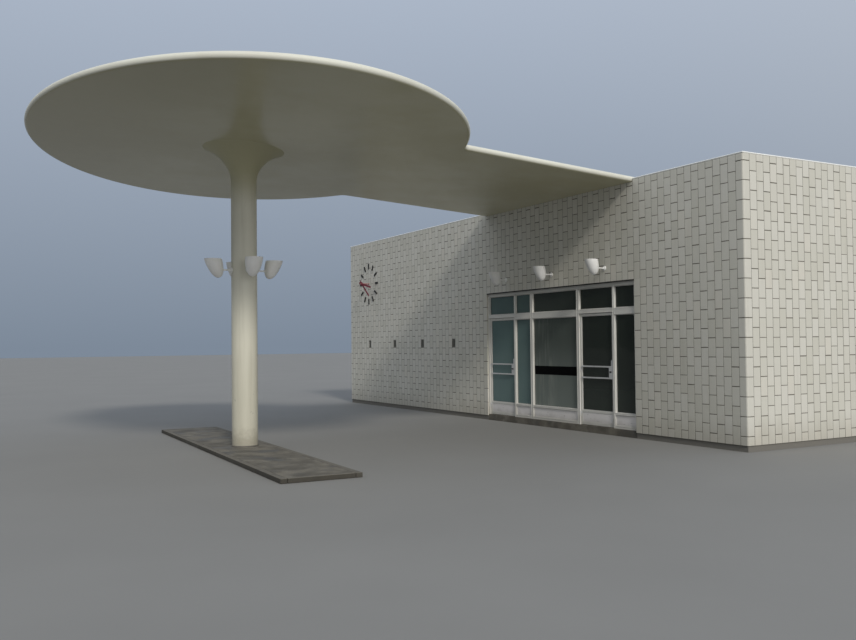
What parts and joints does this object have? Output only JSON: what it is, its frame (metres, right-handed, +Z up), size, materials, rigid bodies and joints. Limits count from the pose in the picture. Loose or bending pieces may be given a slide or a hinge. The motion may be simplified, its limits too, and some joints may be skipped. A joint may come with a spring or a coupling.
{
  "type": "filling station canopy with kiosk",
  "caption": "Oval concrete filling station canopy on one flared column, with a sloping tail that rests on a white tiled kiosk with a glazed front, hinged doors, wall lamps and a wall clock.",
  "frame": {"origin": "on the ground under the middle of the column, at the centre of the oval", "axes": "+X to the right along the kiosk's front as seen from the column, +Y from the column to the kiosk, +Z up"},
  "size_m": [14.4806, 17.0109, 5.226],
  "materials": {
    "painted_concrete": "satin",
    "roofing_felt": "matte",
    "concrete": "matte",
    "kerb_stone": "matte",
    "masonry": "matte",
    "glazed_tile": "gloss",
    "coping_metal": "satin",
    "lamp_enamel": "satin",
    "frame_paint": "satin",
    "glass": "gloss",
    "dark_steel": "satin",
    "hardware": "satin",
    "black_knob": "satin",
    "clock_black": "satin",
    "clock_red": "satin"
  },
  "bodies": {
    "building": {"canopy_slab": "painted_concrete", "column_shaft": "painted_concrete", "column_flare": "painted_concrete", "roofing": "roofing_felt", "floor_slab": "concrete", "roof_slab": "concrete", "threshold": "concrete", "island_top": "concrete", "island_kerb": "kerb_stone", "front_wall_left": "masonry", "front_wall_right": "masonry", "front_wall_over_glazing": "masonry", "right_wall": "masonry", "left_wall": "masonry", "back_wall": "masonry", "front_tiles": "glazed_tile", "side_tiles": "glazed_tile", "back_tiles": "glazed_tile", "corner_tiles": "glazed_tile", "coping": "coping_metal", "column_lamp_shades": "lamp_enamel", "column_lamp_arms": "lamp_enamel", "wall_lamp_shades": "lamp_enamel", "wall_lamp_arms": "lamp_enamel", "frame_uprights": "frame_paint", "frame_bars": "frame_paint", "kick_panels": "frame_paint", "fixed_glass": "glass", "lintel": "dark_steel", "vent_grilles": "dark_steel", "frame_hinges": "hardware", "clock_marks": "clock_black", "clock_spindle": "clock_red"},
    "left_door": {"left_door_leaf": "frame_paint", "left_door_glass": "glass", "left_door_panel": "frame_paint", "left_door_rails": "hardware", "left_door_knob": "black_knob", "left_door_hinges": "hardware"},
    "right_door": {"right_door_leaf": "frame_paint", "right_door_glass": "glass", "right_door_panel": "frame_paint", "right_door_rails": "hardware", "right_door_knob": "black_knob", "right_door_hinges": "hardware"},
    "hour_hand": {"hour_hand": "clock_red"},
    "minute_hand": {"minute_hand": "clock_red"}
  },
  "joints": [
    {"name": "left_door_hinge", "type": "hinge", "parent": "building", "child": "left_door", "pos_m": [-2.30975, 6.319, 1.13], "axis": [0, 0, -1], "range_deg": [0, 90]},
    {"name": "right_door_hinge", "type": "hinge", "parent": "building", "child": "right_door", "pos_m": [0.79775, 6.319, 1.13], "axis": [0, 0, -1], "range_deg": [0, 90]},
    {"name": "minute_hand_turn", "type": "hinge", "parent": "building", "child": "minute_hand", "pos_m": [-8.425, 6.03, 3.393], "axis": [0, 1, 0], "continuous": true},
    {"name": "hour_hand_turn", "type": "hinge", "parent": "building", "child": "hour_hand", "pos_m": [-8.425, 6.05, 3.393], "axis": [0, 1, 0], "continuous": true}
  ],
  "couplings": [
    {"joint": "hour_hand_turn", "follows": "minute_hand_turn", "ratio": 0.083333}
  ]
}
